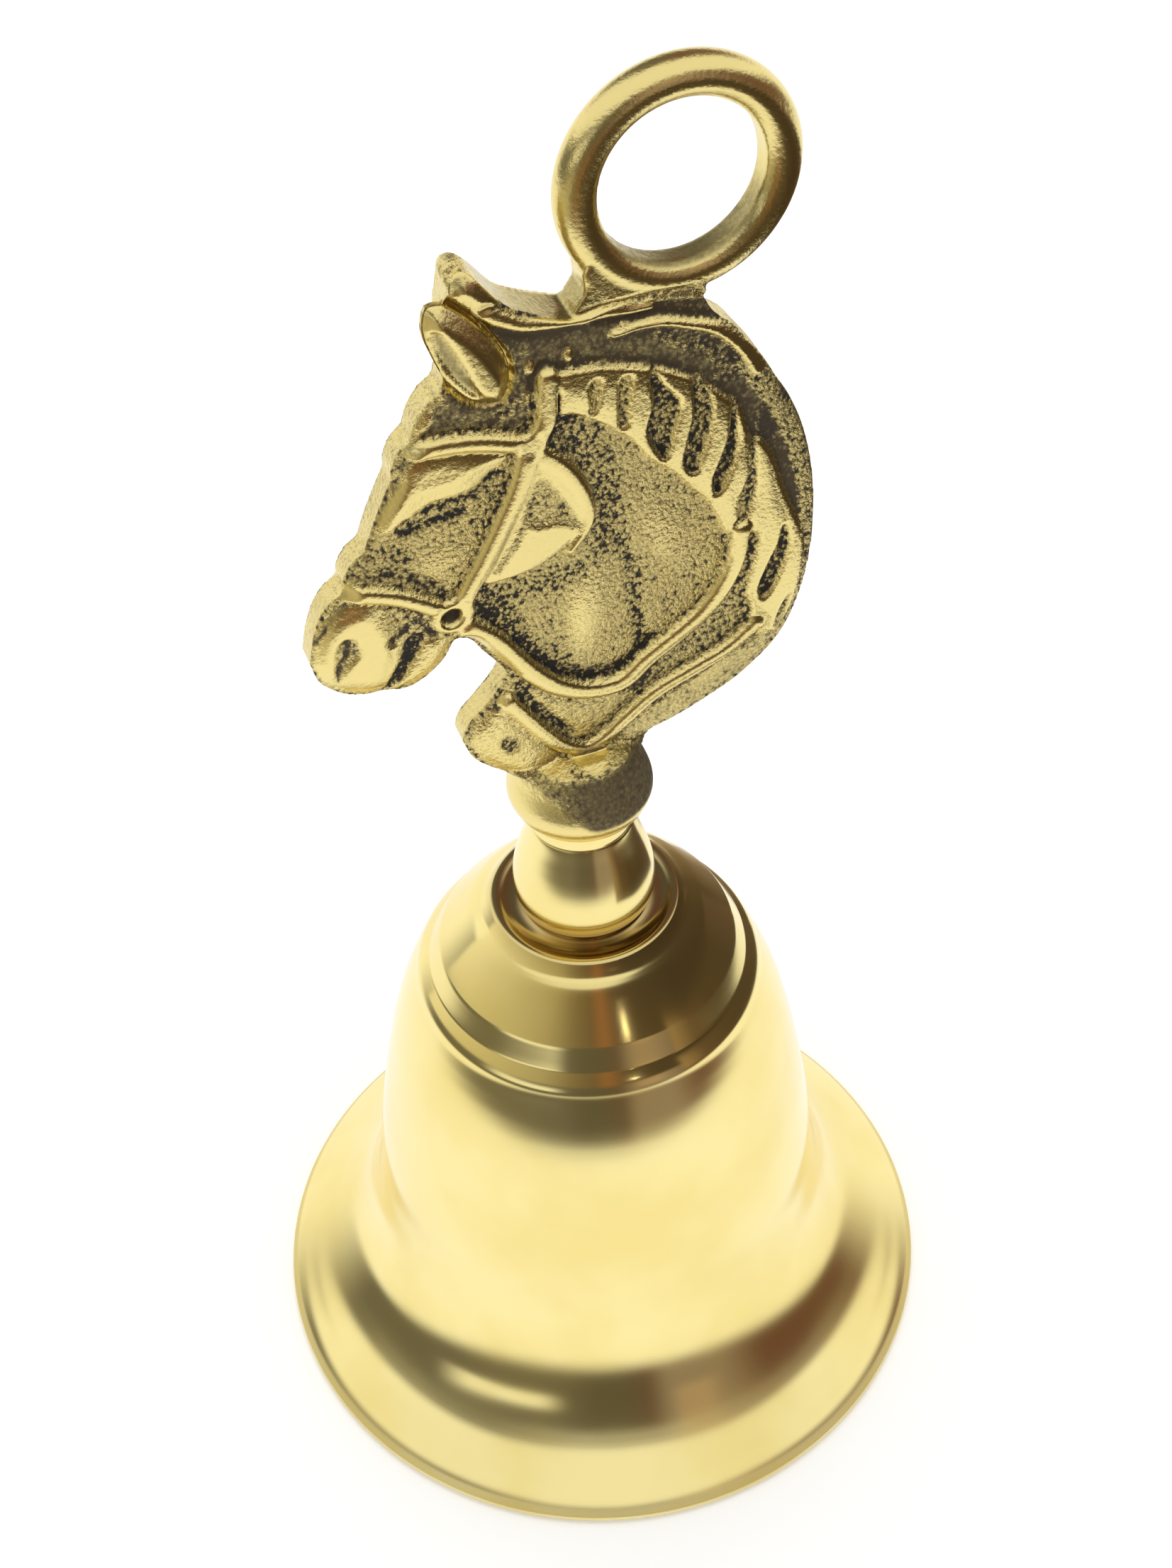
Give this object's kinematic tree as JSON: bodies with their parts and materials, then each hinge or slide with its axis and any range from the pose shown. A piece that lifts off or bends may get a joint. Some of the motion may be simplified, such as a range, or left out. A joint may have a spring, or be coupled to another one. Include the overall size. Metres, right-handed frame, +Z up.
{
  "type": "hand bell",
  "caption": "Small brass hand bell with a flared mouth, a swinging clapper, and a flat cast handle shaped as a bridled horse's head with a hanging ring.",
  "frame": {"origin": "centre of the mouth, in the plane that the rim stands on", "axes": "+Z up the bell's axis, -X towards the horse's nose, Y through the flat head"},
  "size_m": [0.06, 0.06, 0.125],
  "materials": {
    "turned_brass": "turned and polished",
    "cast_brass": "sand cast, polished on the raised parts, dark patina in the hollows",
    "clapper_brass": "dull, unpolished",
    "plated_steel": "dull zinc plate"
  },
  "bodies": {
    "bell": {"bell_body": "turned_brass", "neck_ferrule": "turned_brass", "horse_handle": "cast_brass", "crown_washer": "plated_steel", "clamp_nut": "plated_steel", "clapper_eye_bolt": "plated_steel"},
    "link": {"clapper_link": "plated_steel"},
    "clapper": {"clapper_rod": "plated_steel", "clapper_ball": "clapper_brass"}
  },
  "joints": [
    {"name": "link_swing", "type": "hinge", "parent": "bell", "child": "link", "pos_m": [0, 0, 0.0329], "axis": [1, 0, 0], "range_deg": [-24, 24]},
    {"name": "clapper_swing", "type": "hinge", "parent": "link", "child": "clapper", "pos_m": [0, 0, 0.0275], "axis": [0, 1, 0], "range_deg": [-33, 33]}
  ]
}
